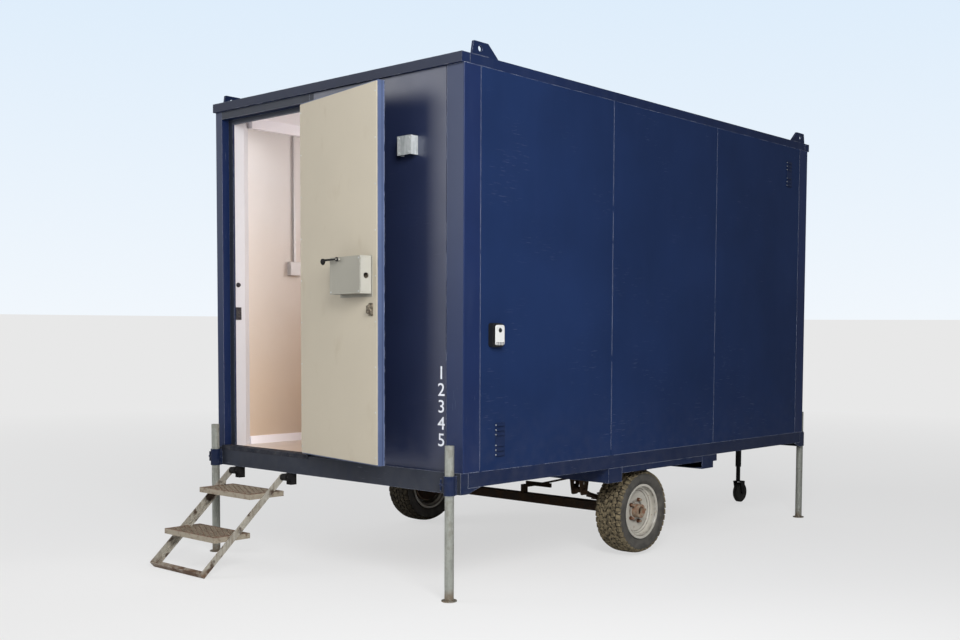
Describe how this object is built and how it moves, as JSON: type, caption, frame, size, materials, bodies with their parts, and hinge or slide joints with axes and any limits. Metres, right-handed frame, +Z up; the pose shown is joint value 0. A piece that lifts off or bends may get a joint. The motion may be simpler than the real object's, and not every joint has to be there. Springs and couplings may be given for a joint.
{
  "type": "portable site cabin",
  "caption": "Towable site cabin: a steel box room on prop legs with one axle, an open door at one end, fold-out steps, lifting lugs and a drawbar with a ring eye at the other end.",
  "frame": {"origin": "on the ground below the middle of the whole cabin, drawbar and steps included", "axes": "+X to the right when facing the door end from outside, +Y from the door end to the drawbar, +Z up"},
  "size_m": [2.1959, 5.518, 2.84],
  "materials": {
    "beige_board": "matt beige laminate",
    "black_rubber": "matt",
    "black_steel": "matt",
    "black_tyre": "worn rubber",
    "cream_steel": "satin cream",
    "floor_vinyl": "soft sheen",
    "galvanised": "dull zinc",
    "grey_green_steel": "satin grey-green",
    "grey_navy_steel": "satin paint, worn at the edges",
    "lavender_steel": "satin blue-grey",
    "lock_plastic": "white",
    "navy_steel": "satin paint, scratched",
    "plywood": "bare",
    "rim_steel": "cream silver, rust spots",
    "roof_sheet": "dull",
    "rusty_steel": "dark, rusty",
    "white_board": "matt white"
  },
  "bodies": {
    "cabin": {"axle_beam": "rusty_steel", "axle_clamps": "rusty_steel", "bottom_rails": "navy_steel", "brake_linkage": "black_steel", "ceiling_lining": "white_board", "chassis_rails": "grey_navy_steel", "corner_boxings": "white_board", "corner_posts": "navy_steel", "cross_members": "navy_steel", "door_head": "navy_steel", "door_jambs": "navy_steel", "door_keeps": "galvanised", "drawbar_plates": "navy_steel", "drawbar_tubes": "navy_steel", "floor_covering": "floor_vinyl", "floor_deck": "plywood", "floor_joists": "galvanised", "frame_hinges": "galvanised", "front_wall": "navy_steel", "inlet_hood": "galvanised", "key_safe": "black_steel", "leaf_springs": "rusty_steel", "left_wall": "navy_steel", "leg_sleeves": "navy_steel", "lifting_lugs": "navy_steel", "rear_wall": "navy_steel", "right_wall": "navy_steel", "roof_panel": "roof_sheet", "sill_plate": "rusty_steel", "spring_hangers": "rusty_steel", "step_hangers": "navy_steel", "switch_box": "lock_plastic", "top_rails": "grey_navy_steel", "tow_coupling": "black_steel", "wall_linings": "beige_board", "wall_trims": "white_board", "wall_vents": "navy_steel"},
    "door": {"door_leaf": "lavender_steel", "door_lining": "cream_steel", "door_hinges": "galvanised", "lock_cover": "grey_green_steel", "lock_cases": "grey_green_steel"},
    "lever": {"door_lever": "black_steel"},
    "leg_front_left": {"prop_leg_front_left": "galvanised"},
    "leg_front_right": {"prop_leg_front_right": "galvanised"},
    "leg_rear_left": {"prop_leg_rear_left": "galvanised"},
    "leg_rear_right": {"prop_leg_rear_right": "galvanised"},
    "steps": {"step_frame": "galvanised", "step_treads": "galvanised"},
    "wheel_left": {"tyre_left": "black_tyre", "rim_left": "rim_steel", "hub_left": "rusty_steel"},
    "wheel_right": {"tyre_right": "black_tyre", "rim_right": "rim_steel", "hub_right": "rusty_steel"},
    "jockey_mast": {"jockey_tube": "black_steel"},
    "jockey_caster": {"jockey_fork": "black_steel"},
    "jockey_roller": {"jockey_wheel": "black_rubber"}
  },
  "joints": [
    {"name": "door_hinge", "type": "hinge", "parent": "cabin", "child": "door", "pos_m": [-0.152, -2.161, 1.66], "axis": [0, 0, 1], "range_deg": [-169.5, 5]},
    {"name": "door_lever_turn", "type": "hinge", "parent": "door", "child": "lever", "pos_m": [0.38574, -2.39288, 1.753], "axis": [-0.1822, -0.9833, 0], "range_deg": [0, 90]},
    {"name": "steps_fold", "type": "hinge", "parent": "cabin", "child": "steps", "pos_m": [-0.617, -2.193, 0.521], "axis": [-1, 0, 0], "range_deg": [0, 95]},
    {"name": "leg_front_left_slide", "type": "slide", "parent": "cabin", "child": "leg_front_left", "axis": [0, 0, 1], "range_m": [0, 0.35]},
    {"name": "leg_front_right_slide", "type": "slide", "parent": "cabin", "child": "leg_front_right", "axis": [0, 0, 1], "range_m": [0, 0.35]},
    {"name": "leg_rear_left_slide", "type": "slide", "parent": "cabin", "child": "leg_rear_left", "axis": [0, 0, 1], "range_m": [0, 0.35]},
    {"name": "leg_rear_right_slide", "type": "slide", "parent": "cabin", "child": "leg_rear_right", "axis": [0, 0, 1], "range_m": [0, 0.35]},
    {"name": "wheel_left_spin", "type": "hinge", "parent": "cabin", "child": "wheel_left", "pos_m": [-0.9325, -0.491, 0.2725], "axis": [1, 0, 0], "continuous": true},
    {"name": "wheel_right_spin", "type": "hinge", "parent": "cabin", "child": "wheel_right", "pos_m": [0.9325, -0.491, 0.2725], "axis": [1, 0, 0], "continuous": true},
    {"name": "jockey_raise", "type": "slide", "parent": "cabin", "child": "jockey_mast", "axis": [0, 0, 1], "range_m": [0, 0.2]},
    {"name": "jockey_swivel", "type": "hinge", "parent": "jockey_mast", "child": "jockey_caster", "pos_m": [0.3, 1.899, 0.4], "axis": [0, 0, 1], "continuous": true},
    {"name": "jockey_roll", "type": "hinge", "parent": "jockey_caster", "child": "jockey_roller", "pos_m": [0.3, 1.929, 0.088], "axis": [1, 0, 0], "continuous": true}
  ]
}
